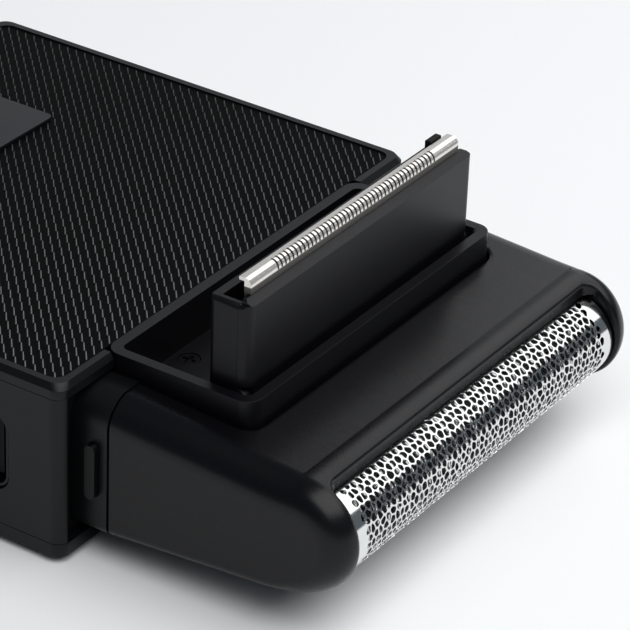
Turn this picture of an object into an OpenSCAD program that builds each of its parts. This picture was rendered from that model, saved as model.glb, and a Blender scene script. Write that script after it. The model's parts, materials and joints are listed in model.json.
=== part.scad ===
// Foil shaver with a pop-up trimmer, lying on its back.
// X runs across the head, +Y towards the tail, +Z up from the table. Millimetres.
// Each piece is drawn with the casing's front face at Y = 0, then placed so that
// the origin is under the middle of the whole object.

/* [Casing] */
// Width of the casing
body_w = 65; // [60:0.5:80]
// Length of the casing behind its front face
body_l = 58.5; // [57:0.5:75]
// Thickness of the casing
body_t = 21.8; // [21:0.1:27]
// Plan radius of the casing's corners
corner_r = 1.5; // [1:0.1:3]
// Width of the rim round the grip panel
rim_w = 1.25; // [1:0.05:2]
// Height of the top bezel
bezel_h = 1.7; // [1.5:0.1:2.2]
// Height of the rear cover
rear_h = 2.4; // [2.2:0.1:3]
// Wall of the side band
band_wall = 1.6; // [1.2:0.1:2]
// Thickness of the grip panel
panel_t = 1.1; // [0.9:0.05:1.2]
// How far the front plate is set back
front_recess = 1.2; // [0.8:0.1:1.4]

/* [Controls] */
// Width of the control plate
plate_w = 30; // [22:0.5:34]
// Distance of the control plate from the front face
plate_y = 37.3; // [35:0.1:38]
// Length of the control plate
plate_l = 13; // [11:0.5:14]
// Height of the control plate above the grip panel
plate_rise = 0.45; // [0.3:0.05:0.6]
// Radius of the power button
button_r = 3.6; // [3:0.1:4]
// Travel of the power button
button_travel = 0.4; // [0.2:0.05:0.5]
// Distance of the charging socket from the front face
socket_y = 8.7; // [8.2:0.1:10]
// Height of the charging socket's slot
socket_h = 9; // [8.6:0.1:9.4]
// Width of the charging socket's slot
socket_w = 3.4; // [3.2:0.1:3.6]

/* [Head] */
// Width of the head
head_w = 58.5; // [57:0.5:59.4]
// Distance from the front face to the seam of the foil frame
seam_y = 3.4; // [3.2:0.1:3.8]
// Radius of the full-round nose
nose_r = 6.5; // [6.3:0.05:6.8]
// Distance from the front face to the nose's centre
nose_y = 26.1; // [26:0.1:28]
// Drop from the casing's top to the head's top at the neck
head_drop = 2.1; // [1.9:0.1:2.4]
// Height of the head's underside at the neck
head_lift = 3.4; // [3.2:0.1:3.8]
// Wall of the foil frame
head_wall = 1.7; // [1.4:0.05:1.8]
// Thickness of a cheek at the end of the foil
cheek_t = 3.35; // [3:0.05:3.6]
// Height of a release button
release_h = 6.5; // [5.5:0.1:7]
// Travel of a release button
release_travel = 0.7; // [0.4:0.05:0.7]

/* [Shaving system] */
// Outer radius of the foil
foil_r = 5; // [4.8:0.05:5.1]
// Thickness of the foil sheet
foil_t = 0.2; // [0.15:0.01:0.25]
// Gap between the foil and the blades
blade_gap = 0.06; // [0.05:0.01:0.1]
// Number of blades
blade_count = 25; // [15:2:29]
// Thickness of a blade
blade_t = 0.35; // [0.25:0.01:0.4]
// How far the cutter floats back from the foil
float_travel = 0.6; // [0.3:0.05:0.8]
// Throw of the drive to each side
throw = 0.8; // [0.5:0.05:1]

/* [Trimmer] */
// Width of the trimmer's tray
tray_w = 46.8; // [44:0.2:48]
// Reach of the tray over the head
tray_reach = 17.3; // [17:0.1:18]
// Length of the tray behind the front face
tray_back = 1.4; // [1.2:0.1:2]
// Wall of the tray
tray_wall = 1.25; // [1:0.05:1.3]
// Height of the trimmer from the casing's top to the top of its housing
trimmer_h = 9.6; // [9:0.1:9.7]
// Thickness of the trimmer
trimmer_t = 5; // [4.8:0.1:5]
// Gap between the trimmer and the tray's side
trimmer_side_gap = 0.7; // [0.4:0.05:1]
// Gap between the trimmer's face and the tray's front wall
trimmer_front_gap = 0.75; // [0.7:0.01:0.8]
// Distance from the comb's end to the trimmer's end
comb_inset = 1.75; // [1.5:0.05:3]
// Number of slots in the comb
tooth_count = 44; // [20:1:50]
// Distance between two slots
tooth_pitch = 0.69; // [0.6:0.01:0.75]

/* [Fasteners] */
// Radius of a rear screw's shank
screw_r = 1; // [0.8:0.05:1.1]
// Radius of a rear screw's head
screw_head_r = 1.8; // [1.6:0.05:2]

/* [Fits] */
// Running clearance of a shaft in its bore, on the radius
run_gap = 0.05; // [0.03:0.01:0.08]
// Gap between two parts that only stand side by side
gap = 0.1; // [0.05:0.01:0.15]

/* [Hidden] */
$fn = 48;
cut = 1;

// Whole object: nose tip to tail, and the middle that becomes Y = 0
nose_tip = nose_y + nose_r;
mid_y = (body_l - nose_tip) / 2;

// Levels of the casing
half_w = body_w / 2;
bezel_z = body_t - bezel_h;
panel_drop = 0.15;
panel_top = body_t - panel_drop;
panel_bottom = panel_top - panel_t;
rear_floor = 1.4;
rear_chamfer = 0.9;
bezel_chamfer = 0.7;
ledge_w = 1.5;

// Head profile
head_half = head_w / 2;
head_top = body_t - head_drop;
nose_z = (head_top + head_lift) / 2 + 0.2;
side_top_r = 3.5;
side_bottom_r = 1.2;
cheek_r = 3;
cavity_half = head_half - cheek_t;
lip_y = nose_y + 2.1;

// Foil and drive axis
foil_y = nose_y + 0.9;
drive_z = nose_z - 0.6;
foil_half = cavity_half - 0.3;
foil_leg = 4;
foil_pocket = 0.15;
pocket_l = foil_leg + 2.5;
clip_t = 1;
clip_wall = 1.4;
blade_r = foil_r - foil_t - blade_gap;
blade_span = 2 * foil_half - 5;
blade_pitch = blade_span / (blade_count - 1);
holder_front = foil_y - 3;
holder_back = foil_y - 11;
holder_half = foil_half - 1.2;
holder_bar = 3;
hub_half = 5;
holder_lift = 2.2;
slot_depth = 1.2;
post_r = 1.5;
spring_r = 2.1;
spring_wire = 0.3;
spring_rings = 7;
blade_hole_r = 1.9;
blade_cut = 1.5;
bulkhead_t = 0.9;
stem_half = 3;
stem_z = 2.2;
stem_front = 6;

// Drive bridge, its rods and centring springs
bridge_half = 9;
bridge_down = 3.7;
bridge_up = 3.5;
bridge_t = 2.6;
rod_r = 0.75;
rod_dz = 2.6;
rod_half = 15;
pillar_w = 3;
pillar_x = bridge_half + throw + 1;
rod_ring_r = 1;
rod_ring_wire = 0.2;
crank_throw = 0.8;
crank_r = 0.6;
crank_slot_half = throw + crank_throw + crank_r + 0.1;
crank_slot_up = crank_throw + crank_r + 0.1;
crank_depth = 1.9;

// Motor
motor_r = 7;
motor_y = 8;
motor_l = 19;
can_wall = 0.6;
can_front = 1;
end_cap_t = 1.5;
magnet_t = 1.2;
armature_r = 4.6;
shaft_r = 0.75;
bush_r = 3;
bush_l = 1.4;
cam_r = 2.6;
cam_l = 2.6;
cam_back = motor_y - bush_l - 0.4;
bracket_t = 1;
motor_screw_x = 4.6;
motor_screw_r = 0.6;

// Battery and boards
cell_r = 7;
cell_half = 23.5;
cell_y = body_l - 11.5;
tab_t = 0.25;
board_half = 24;
board_bottom = drive_z + cell_r + 0.45;
board_t = 0.8;
board_top = board_bottom + board_t;
board_front = 28.6;
switch_h = 0.8;
switch_top = board_top + switch_h;
button_y = plate_y + plate_l / 2;
light_x = plate_w / 2 - 4;
light_r = 0.8;
lead_r = 0.4;
lead_x = 3;

// Charging socket
shell_wall = 0.3;
shell_r = socket_w / 2 - 0.1;
shell_depth = 7.2;
charging_board_t = 0.8;

// Chassis that cradles the motor and the battery
chassis_half = 23;
chassis_t = 1.1;
saddle_h = 5.5;

// Neck
neck_back = 4.6;
flange_t = 1.2;
flange_half = head_half + 1;
neck_wall = 1.6;

// Release buttons in the neck
release_w = 1.3;
release_y = 1.75;
release_proud = 0.8;
shoulder_t = 1.2;
shoulder_rise = 0.8;
leaf_t = 0.3;
release_guide = 0.08;

// Tray and trimmer
tray_half = tray_w / 2;
tray_in_half = tray_half - tray_wall;
tray_front_in = tray_reach - tray_wall;
face_y = -(tray_front_in - trimmer_front_gap);
rear_face_y = face_y + trimmer_t;
trimmer_half = tray_in_half - trimmer_side_gap;
comb_w = 2 * (trimmer_half - comb_inset);
trimmer_top = body_t + trimmer_h;
comb_rise = 2.3;
comb_ridge_z = trimmer_top + comb_rise;
pivot_z = body_t - 1.6;
pivot_y = face_y + 1.6;
trimmer_foot = 1.6;
trimmer_bottom = pivot_z - trimmer_foot;
tray_floor_top = pivot_z - (rear_face_y - pivot_y) - 0.4;
tray_floor_t = 1.4;
tray_bottom = tray_floor_top - tray_floor_t;
hinge_r = 0.8;
cover_t = 1.4;
housing_wall = 1;
tray_r = 1.8;
tray_in_r = 0.8;
tray_gap = 0.3;
cover_edge_r = 1.2;
housing_edge_r = 0.8;
foot_chamfer = 0.6;
band_rise = 0.5;
band_end_r = 1.2;
band_depth = 1.05;
band_half = comb_w / 2 + 1.2;
lug_t = 1;

// Arm that carries the drive up to the trimmer's slider
arm_t = 1.4;
arm_half = 1;
arm_plate = 0.8;
arm_top = pivot_z + 0.5;
arm_z = tray_bottom - 0.2;
fork_gap = 0.08;
fork_t = 1;
fork_void_half = arm_half + fork_gap + fork_t + throw + 0.2;
fork_void_r = 1;

// Steel comb, moving cutter and slider
comb_plate = 0.35;
comb_y = face_y + 1.55;
comb_foot = trimmer_top - 7.4;
facet_out = 0.5;
facet_drop = 1.75;
cap_round = 0.75;
cap_back = 1;
cap_t = 0.4;
slot_w = 0.29;
slot_down = 0.95;
cutter_y = comb_y + comb_plate + 0.06;
cutter_half = comb_w / 2 - 1.3;
cutter_top = comb_ridge_z - cap_t - 0.1;
cutter_foot = trimmer_top - 4.4;
slider_y = cutter_y + comb_plate + 0.03;
slider_t = 0.85;
slider_half = 16;
slider_top = trimmer_top - 0.4;
bump_top = comb_ridge_z + 0.15;
bump_x = 16.6;
leaf_y = slider_y + slider_t + 0.2;

// Screws
tray_screw_y = 1.6;
tray_screw_r = 0.6;
tray_screw_head = 1.2;
tray_screw_l = 3.6;

// Rear screws
screw_x = half_w - band_wall - 2.9;
screw_ys = [17, body_l - 4.6];
boss_r = 2.5;
boss_h = 3.2;
head_sink = 0.7;
head_clear = 0.05;

// Moves a piece from the casing's front face frame to the object's own frame
module place() {
    translate([0, -mid_y, 0]) children();
}

// Box from its two corners
module span(x0, x1, y0, y1, z0, z1) {
    translate([x0, y0, z0]) cube([x1 - x0, y1 - y0, z1 - z0]);
}

// Slab with four round plan corners
module slab(half, y0, y1, z0, z1, r) {
    span(-half + r, half - r, y0, y1, z0, z1);
    span(-half, half, y0 + r, y1 - r, z0, z1);
    for (sx = [-1, 1]) {
        for (y = [y0 + r, y1 - r]) {
            translate([sx * (half - r), y, z0]) cylinder(r = r, h = z1 - z0);
        }
    }
}

// Rod along X between two places
module rod_x(x0, x1, y, z, r) {
    translate([x0, y, z]) rotate([0, 90, 0]) cylinder(r = r, h = x1 - x0);
}

// Rod along Y between two places
module rod_y(x, y0, y1, z, r) {
    translate([x, y0, z]) rotate([-90, 0, 0]) cylinder(r = r, h = y1 - y0);
}

// Outline in the Y-Z plane carried along X
module along_x(x0, x1) {
    translate([x0, 0, 0]) rotate([90, 0, 90]) linear_extrude(height = x1 - x0) children();
}

// Cross-section in the X-Z plane with soft upper and lower corners, carried along Y
module soft_section(half, z0, z1, y0, y1, r_top, r_bottom) {
    span(-half, half, y0, y1, z0 + r_bottom, z1 - r_top);
    span(-half + r_top, half - r_top, y0, y1, z1 - r_top, z1);
    span(-half + r_bottom, half - r_bottom, y0, y1, z0, z0 + r_bottom);
    for (sx = [-1, 1]) {
        rod_y(sx * (half - r_top), y0, y1, z1 - r_top, r_top);
        rod_y(sx * (half - r_bottom), y0, y1, z0 + r_bottom, r_bottom);
    }
}

// Side outline of the head: a wedge that narrows into a full-round nose
module head_outline(inset) {
    polygon([
        [0, head_lift + inset],
        [0, head_top - inset],
        [-seam_y, head_top - inset],
        [-nose_y, nose_z + nose_r - inset],
        [-nose_y, nose_z - nose_r + inset],
        [-seam_y, head_lift + inset]
    ]);
    translate([-nose_y, nose_z]) circle(r = nose_r - inset);
}

// ---- Casing ----

module top_bezel() {
    color("#1c1d1f")
    place()
    difference() {
        union() {
            slab(half_w, 0, body_l, bezel_z, body_t - bezel_chamfer, corner_r);
            hull() {
                slab(half_w, 0, body_l, body_t - bezel_chamfer, body_t - bezel_chamfer + 0.01, corner_r);
                slab(half_w - 0.45, 0.45, body_l - 0.45, body_t - 0.01, body_t, corner_r);
            }
        }
        slab(half_w - rim_w, rim_w, body_l - rim_w, panel_bottom - gap, body_t + cut, corner_r);
        slab(
            half_w - rim_w - ledge_w, rim_w + ledge_w, body_l - rim_w - ledge_w,
            bezel_z - cut, body_t, corner_r
        );
        span(-tray_half - gap, tray_half + gap, -cut, tray_back + gap, bezel_z - cut, body_t + cut);
    }
}

module grip_panel() {
    color("#26282a")
    place()
    difference() {
        slab(
            half_w - rim_w - gap, rim_w + gap, body_l - rim_w - gap,
            panel_bottom, panel_top, corner_r - gap
        );
        span(
            -tray_half - gap, tray_half + gap, 0, tray_back + gap,
            panel_bottom - cut, panel_top + cut
        );
        translate([0, button_y, panel_bottom - cut])
            cylinder(r = button_r - 0.6, h = panel_t + 2 * cut);
        translate([light_x, button_y, panel_bottom - cut])
            cylinder(r = light_r, h = panel_t + 2 * cut);
    }
}

module control_plate() {
    color("#3a3d40")
    place()
    difference() {
        slab(
            plate_w / 2, plate_y, plate_y + plate_l,
            panel_top, panel_top + plate_rise, 0.8
        );
        translate([0, button_y, panel_top - cut])
            cylinder(r = button_r + gap, h = plate_rise + 2 * cut);
        translate([light_x, button_y, panel_top - cut])
            cylinder(r = light_r, h = plate_rise + 2 * cut);
    }
}

// Cap, and a stem that reaches down to the tactile switch
module power_button() {
    cap_z = panel_top + button_travel + gap;
    color("#2c2e30")
    place()
    translate([0, button_y, 0]) {
        translate([0, 0, cap_z]) cylinder(r = button_r, h = 0.35);
        translate([0, 0, switch_top + button_travel + 0.02])
            cylinder(r = button_r - 0.6 - gap, h = cap_z - switch_top - button_travel);
    }
}

module status_light() {
    color("#d7dde0")
    place()
    translate([light_x, button_y, board_top + 0.1])
        cylinder(r = light_r - run_gap, h = panel_top + plate_rise - board_top - 0.1);
}

module side_band() {
    color("#17181a")
    place()
    difference() {
        union() {
            difference() {
                slab(half_w, 0, body_l, rear_h, bezel_z, corner_r);
                slab(
                    half_w - band_wall, band_wall, body_l - band_wall,
                    rear_h - cut, bezel_z + cut, corner_r
                );
                span(
                    -half_w + rim_w, half_w - rim_w, -cut, band_wall + cut,
                    rear_h - cut, bezel_z + cut
                );
            }
            for (sx = [-1, 1]) {
                for (y = screw_ys) {
                    translate([sx * screw_x, y, rear_h]) cylinder(r = boss_r, h = boss_h);
                    span(
                        sx > 0 ? screw_x : -half_w + band_wall / 2,
                        sx > 0 ? half_w - band_wall / 2 : -screw_x,
                        y - 0.8, y + 0.8, rear_h, rear_h + boss_h
                    );
                }
            }
        }
        for (sx = [-1, 1]) {
            for (y = screw_ys) {
                translate([sx * screw_x, y, rear_h - cut]) cylinder(r = screw_r, h = boss_h + 2 * cut);
            }
        }
        socket_cut(gap);
    }
}

// Upright slot with round ends for the charging socket, through the left wall
module socket_cut(grow) {
    r = socket_w / 2;
    dz = socket_h / 2 - r;
    rod_x(-half_w - cut, -half_w + band_wall + cut, socket_y, drive_z + dz, r + grow);
    rod_x(-half_w - cut, -half_w + band_wall + cut, socket_y, drive_z - dz, r + grow);
    span(
        -half_w - cut, -half_w + band_wall + cut,
        socket_y - r - grow, socket_y + r + grow, drive_z - dz, drive_z + dz
    );
}

module rear_cover() {
    color("#141516")
    place()
    difference() {
        union() {
            slab(half_w, 0, body_l, rear_chamfer, rear_h, corner_r);
            hull() {
                slab(
                    half_w - rear_chamfer, rear_chamfer, body_l - rear_chamfer,
                    0, 0.01, corner_r
                );
                slab(half_w, 0, body_l, rear_chamfer, rear_chamfer + 0.01, corner_r);
            }
        }
        difference() {
            slab(
                half_w - band_wall, band_wall, body_l - band_wall,
                rear_floor, rear_h + cut, corner_r
            );
            for (sx = [-1, 1]) {
                for (y = screw_ys) {
                    translate([sx * screw_x, y, 0]) cylinder(r = boss_r, h = rear_h);
                }
            }
        }
        for (sx = [-1, 1]) {
            for (y = screw_ys) {
                translate([sx * screw_x, y, -cut]) {
                    cylinder(r = screw_r + gap, h = rear_h + 2 * cut);
                    cylinder(r = screw_head_r + gap, h = head_sink + cut);
                }
            }
        }
    }
}

module front_plate() {
    color("#0f1011")
    place()
    difference() {
        span(
            -half_w + band_wall + gap, half_w - band_wall - gap,
            front_recess, front_recess + 1.1, rear_h + gap, bezel_z - gap
        );
        soft_section(
            head_half + gap, head_lift - gap, head_top + gap,
            0, front_recess + 2, side_top_r, side_bottom_r
        );
        span(
            -tray_half - gap, tray_half + gap, 0, front_recess + 2,
            tray_bottom - gap, body_t
        );
    }
}

// ---- Neck ----

// One half of the neck: soft-cornered tube, inner flange and front bulkhead
module neck_half(z0, z1) {
    difference() {
        intersection() {
            union() {
                difference() {
                    soft_section(
                        head_half, head_lift, head_top, -seam_y, neck_back,
                        side_top_r, side_bottom_r
                    );
                    soft_section(
                        head_half - neck_wall, head_lift + neck_wall, head_top - neck_wall,
                        -seam_y + bulkhead_t, neck_back + cut,
                        side_top_r - neck_wall, 0.4
                    );
                }
                span(
                    -flange_half, flange_half,
                    front_recess + 1.1 + gap, front_recess + 1.1 + gap + flange_t,
                    rear_h + gap, bezel_z - gap
                );
                for (sx = [-1, 1]) {
                    span(
                        sx * pillar_x - (sx < 0 ? pillar_w : 0),
                        sx * pillar_x + (sx > 0 ? pillar_w : 0),
                        -seam_y + bulkhead_t, neck_back, head_lift + 1, head_top - 1
                    );
                }
            }
            span(-half_w, half_w, -seam_y, neck_back, z0, z1);
        }
        soft_section(
            stem_half + throw + 0.6, drive_z - stem_z - 0.6, drive_z + stem_z + 0.6,
            -seam_y - cut, -seam_y + bulkhead_t + cut, 0.5, 0.5
        );
        span(
            -pillar_x, pillar_x, -seam_y + bulkhead_t, neck_back + cut,
            drive_z - bridge_down - 0.6, tray_bottom
        );
        span(
            -tray_half - tray_gap, tray_half + tray_gap,
            -seam_y - cut, neck_back + cut, tray_bottom - gap, body_t
        );
        for (dz = [-rod_dz, rod_dz]) {
            rod_x(-rod_half, rod_half, 0, drive_z + dz, rod_r);
        }
        for (sx = [-1, 1]) {
            release_hole(sx);
            translate([sx * (pillar_x + pillar_w / 2), -tray_screw_y, tray_bottom - tray_screw_l])
                cylinder(r = tray_screw_r, h = tray_screw_l + cut);
        }
    }
}

// Opening in the neck's side for a release button
module release_hole(sx) {
    x0 = sx > 0 ? head_half - neck_wall - cut : -head_half - cut;
    release_pill(x0, x0 + neck_wall + 2 * cut, release_w / 2 + release_guide, release_h / 2 + release_guide);
}

// Upright pill along X
module release_pill(x0, x1, r, half_h) {
    rod_x(x0, x1, -release_y, drive_z + half_h - r, r);
    rod_x(x0, x1, -release_y, drive_z - half_h + r, r);
    span(x0, x1, -release_y - r, -release_y + r, drive_z - half_h + r, drive_z + half_h - r);
}

module neck_upper() {
    color("#1a1b1d") place() neck_half(drive_z, body_t);
}

module neck_lower() {
    color("#1a1b1d") place() neck_half(0, drive_z);
}

// Flat seal on the bulkhead round the moving stem
module neck_gasket() {
    color("#2f2f2f")
    place()
    difference() {
        span(
            -stem_half - throw - 2.4, stem_half + throw + 2.4,
            -seam_y - 0.8, -seam_y, drive_z - stem_z - 2, drive_z + stem_z - 0.3
        );
        span(
            -stem_half - throw - 0.3, stem_half + throw + 0.3,
            -seam_y - cut - 1, cut, drive_z - stem_z - 0.4, drive_z + stem_z + cut
        );
    }
}

// Button with an inner shoulder that keeps it in the neck
module release_button(sx) {
    outer = head_half + release_proud;
    shoulder_out = head_half - neck_wall - 0.02;
    shoulder_in = shoulder_out - shoulder_t;
    x0 = sx > 0 ? shoulder_in : -outer;
    x1 = sx > 0 ? outer : -shoulder_in;
    color("#232527")
    place() {
        release_pill(x0, x1, release_w / 2, release_h / 2);
        span(
            sx > 0 ? shoulder_in : -shoulder_out,
            sx > 0 ? shoulder_out : -shoulder_in,
            -release_y - release_w / 2, -release_y + release_w / 2,
            drive_z - release_h / 2 - shoulder_rise, drive_z + release_h / 2 + shoulder_rise
        );
    }
}

module release_button_left() {
    release_button(-1);
}

module release_button_right() {
    release_button(1);
}

// One small leaf behind each release button, held by the neck's pillars
module release_springs() {
    color("#b9bcc0")
    place()
    for (sx = [-1, 1]) {
        back = head_half - neck_wall - shoulder_t - release_travel - 0.1;
        span(
            sx > 0 ? back - leaf_t : -back,
            sx > 0 ? back : -back + leaf_t,
            -release_y - 0.3, -release_y + 3, drive_z - 1.6, drive_z + 1.6
        );
        span(
            sx > 0 ? pillar_x + pillar_w : -back + leaf_t,
            sx > 0 ? back - leaf_t : -pillar_x - pillar_w,
            -release_y + 3 - leaf_t, -release_y + 3, drive_z - 1.6, drive_z + 1.6
        );
    }
}

// ---- Foil head ----

module foil_frame() {
    color("#1a1b1d")
    place()
    difference() {
        intersection() {
            along_x(-head_half, head_half) head_outline(0);
            soft_head_ends();
            soft_section(
                head_half, head_lift, head_top, -nose_tip - cut, -seam_y - 0.05,
                side_top_r, side_bottom_r
            );
        }
        intersection() {
            along_x(-cavity_half, cavity_half) head_outline(head_wall);
            span(-head_half, head_half, -lip_y - cut, 0, 0, body_t);
        }
        span(-cavity_half, cavity_half, -nose_tip - cut, -lip_y, 0, body_t);
        slab(
            tray_half + tray_gap, -tray_reach - tray_gap, foil_y, tray_bottom - tray_gap,
            body_t + cut, tray_r + tray_gap
        );
        span(
            -cavity_half, cavity_half, -lip_y - cut, -foil_y + pocket_l,
            drive_z - foil_r - foil_pocket, drive_z + foil_r + foil_pocket
        );
    }
}

// Upright round corners at both ends of the nose
module soft_head_ends() {
    slab(head_half, -nose_tip, cheek_r, 0, body_t, cheek_r);
}

// Half-round sheet with two straight legs that reach in under the lips
module foil() {
    color("#d4d6d8")
    place() {
        difference() {
            rod_x(-foil_half, foil_half, -foil_y, drive_z, foil_r);
            rod_x(-foil_half - cut, foil_half + cut, -foil_y, drive_z, foil_r - foil_t);
            span(
                -foil_half - cut, foil_half + cut, -foil_y, -foil_y + foil_r + cut,
                drive_z - foil_r - cut, drive_z + foil_r + cut
            );
        }
        for (sz = [-1, 1]) {
            span(
                -foil_half, foil_half, -foil_y, -foil_y + foil_leg,
                drive_z + (sz > 0 ? foil_r - foil_t : -foil_r),
                drive_z + (sz > 0 ? foil_r : -foil_r + foil_t)
            );
        }
    }
}

// End pieces that hold the foil to its curve
module foil_clips() {
    inner_r = foil_r - foil_t;
    color("#2b2d2f")
    place()
    for (sx = [-1, 1]) {
        x0 = sx > 0 ? foil_half - clip_t : -cavity_half;
        x1 = sx > 0 ? cavity_half : -foil_half + clip_t;
        difference() {
            union() {
                rod_x(x0, x1, -foil_y, drive_z, inner_r);
                span(x0, x1, -foil_y, -foil_y + foil_leg, drive_z - inner_r, drive_z + inner_r);
            }
            rod_x(x0 - cut, x1 + cut, -foil_y, drive_z, inner_r - clip_wall);
            span(
                x0 - cut, x1 + cut, -foil_y, -foil_y + foil_leg + cut,
                drive_z - inner_r + clip_wall, drive_z + inner_r - clip_wall
            );
        }
    }
}

// ---- Cutter ----

function blade_x(i) = -blade_span / 2 + i * blade_pitch;

module cutter_holder() {
    color("#e6e3da")
    place()
    difference() {
        union() {
            span(
                -holder_half, holder_half, -holder_front, -holder_front + holder_bar,
                drive_z - holder_lift, drive_z + holder_lift
            );
            span(
                -hub_half, hub_half, -holder_front + holder_bar / 2, -holder_back,
                drive_z - holder_lift, drive_z + holder_lift
            );
        }
        rod_y(0, -holder_front - cut, -holder_back + cut, drive_z, post_r + run_gap);
        for (i = [0 : blade_count - 1]) {
            span(
                blade_x(i) - blade_t / 2, blade_x(i) + blade_t / 2,
                -holder_front - cut, -holder_front + slot_depth,
                drive_z - holder_lift - cut, drive_z + holder_lift + cut
            );
        }
    }
}

// Half-moon blades standing in the holder's slots
module cutter_blades() {
    color("#c9ccd0")
    place()
    for (i = [0 : blade_count - 1]) {
        x0 = blade_x(i) - blade_t / 2;
        x1 = blade_x(i) + blade_t / 2;
        difference() {
            union() {
                difference() {
                    rod_x(x0, x1, -foil_y, drive_z, blade_r);
                    span(
                        x0 - cut, x1 + cut, -foil_y + blade_cut, -foil_y + foil_r,
                        drive_z - foil_r, drive_z + foil_r
                    );
                }
                span(
                    x0, x1, -foil_y, -holder_front + slot_depth,
                    drive_z - holder_lift, drive_z + holder_lift
                );
            }
            rod_x(x0 - cut, x1 + cut, -foil_y, drive_z, blade_hole_r);
            rod_y(0, -foil_y, -holder_back, drive_z, post_r + run_gap + gap);
        }
    }
}

// Spring between the stem and the holder, drawn as a row of rings
module cutter_spring() {
    first_y = -stem_front - spring_wire;
    room = holder_back - stem_front - float_travel - gap - 2 * spring_wire;
    color("#b9bcc0")
    place()
    for (i = [0 : spring_rings - 1]) {
        translate([0, first_y - i * room / (spring_rings - 1), drive_z])
            rotate([90, 0, 0])
            rotate_extrude()
            translate([spring_r, 0])
            circle(r = spring_wire, $fn = 16);
    }
}

// ---- Drive ----

// Plate on two rods, with a stem that leaves through the bulkhead
module drive_bridge() {
    color("#e6e3da")
    place()
    difference() {
        union() {
            span(
                -bridge_half, bridge_half, -bridge_t / 2, bridge_t / 2,
                drive_z - bridge_down, drive_z + bridge_up
            );
            span(
                -stem_half, stem_half, -stem_front, 0,
                drive_z - stem_z, drive_z + stem_z
            );
        }
        for (dz = [-rod_dz, rod_dz]) {
            rod_x(-bridge_half - cut, bridge_half + cut, 0, drive_z + dz, rod_r + run_gap);
        }
        span(
            -crank_slot_half, crank_slot_half, bridge_t / 2 - crank_depth, bridge_t,
            drive_z - crank_slot_up, drive_z + crank_slot_up
        );
        rod_y(0, -stem_front - cut, -stem_front + 2, drive_z, post_r);
    }
}

// Steel post pressed into the stem; the cutter holder slides on it
module cutter_post() {
    color("#b9bcc0")
    place()
    rod_y(0, -holder_front + slot_depth, -stem_front + 2, drive_z, post_r);
}

// Bent arm on the stem that reaches up through the tray to the trimmer
module trimmer_arm() {
    foot_y = -stem_front + 0.4;
    color("#b9bcc0")
    place() {
        span(
            -arm_half, arm_half, foot_y, foot_y + arm_t,
            drive_z + stem_z, arm_z
        );
        span(
            -arm_half, arm_half, pivot_y - arm_t / 2, foot_y + arm_t,
            arm_z - arm_plate, arm_z
        );
        span(
            -arm_half, arm_half, pivot_y - arm_t / 2, pivot_y + arm_t / 2,
            arm_z - arm_plate, arm_top
        );
    }
}

module guide_rods() {
    color("#c9ccd0")
    place()
    for (dz = [-rod_dz, rod_dz]) {
        rod_x(-rod_half, rod_half, 0, drive_z + dz, rod_r);
    }
}

// Centring springs on the rods, beside the pillars
module bridge_springs() {
    color("#b9bcc0")
    place()
    for (sx = [-1, 1]) {
        for (dz = [-rod_dz, rod_dz]) {
            for (i = [0, 1]) {
                translate([sx * (pillar_x - rod_ring_wire - i * 0.45), 0, drive_z + dz])
                    rotate([0, 90, 0])
                    rotate_extrude()
                    translate([rod_ring_r, 0])
                    circle(r = rod_ring_wire, $fn = 16);
            }
        }
    }
}

// Cam on the motor's shaft, with the crank pin off its centre
module crank_cam() {
    color("#e6e3da")
    place()
    difference() {
        union() {
            rod_y(0, cam_back - cam_l, cam_back, drive_z, cam_r);
            rod_y(crank_throw, bridge_t / 2 - crank_depth + 0.3, cam_back, drive_z, crank_r);
        }
        rod_y(0, cam_back - cam_l + 0.6, cam_back + cut, drive_z, shaft_r);
    }
}

module motor_shaft() {
    color("#c9ccd0")
    place()
    rod_y(0, cam_back - cam_l + 0.6, motor_y + motor_l - 0.3, drive_z, shaft_r);
}

// Wound armature: three poles round the shaft and the commutator
module motor_armature() {
    color("#9a5a34")
    place()
    difference() {
        union() {
            rod_y(0, motor_y + 3, motor_y + motor_l - 6, drive_z, armature_r);
            rod_y(0, motor_y + motor_l - 6, motor_y + motor_l - 2, drive_z, 2);
        }
        rod_y(0, motor_y, motor_y + motor_l, drive_z, shaft_r);
        for (a = [0 : 120 : 240]) {
            translate([0, motor_y + 2, drive_z])
                rotate([0, a, 0])
                translate([-0.5, 0, 2.6])
                cube([1, motor_l - 7, armature_r]);
        }
    }
}

module motor_bushing() {
    color("#a8854a")
    place()
    difference() {
        rod_y(0, motor_y - bush_l, motor_y + can_front, drive_z, bush_r);
        rod_y(0, motor_y - bush_l - cut, motor_y + can_front + cut, drive_z, shaft_r + run_gap);
    }
}

module motor_can() {
    color("#a9acb0")
    place()
    difference() {
        rod_y(0, motor_y, motor_y + motor_l, drive_z, motor_r);
        rod_y(0, motor_y + can_front, motor_y + motor_l + cut, drive_z, motor_r - can_wall);
        rod_y(0, motor_y - cut, motor_y + motor_l, drive_z, bush_r);
        for (sx = [-1, 1]) {
            rod_y(sx * motor_screw_x, motor_y - cut, motor_y + 2, drive_z, motor_screw_r);
        }
    }
}

// Two curved magnets inside the can
module motor_magnets() {
    outer = motor_r - can_wall;
    color("#4a4c50")
    place()
    difference() {
        rod_y(0, motor_y + 3, motor_y + motor_l - 5, drive_z, outer);
        rod_y(0, motor_y, motor_y + motor_l, drive_z, outer - magnet_t);
        span(
            -motor_r, motor_r, motor_y, motor_y + motor_l,
            drive_z - 1.5, drive_z + 1.5
        );
    }
}

module motor_end_cap() {
    color("#e6e3da")
    place()
    rod_y(0, motor_y + motor_l, motor_y + motor_l + end_cap_t, drive_z, motor_r - 0.2);
}

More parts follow.
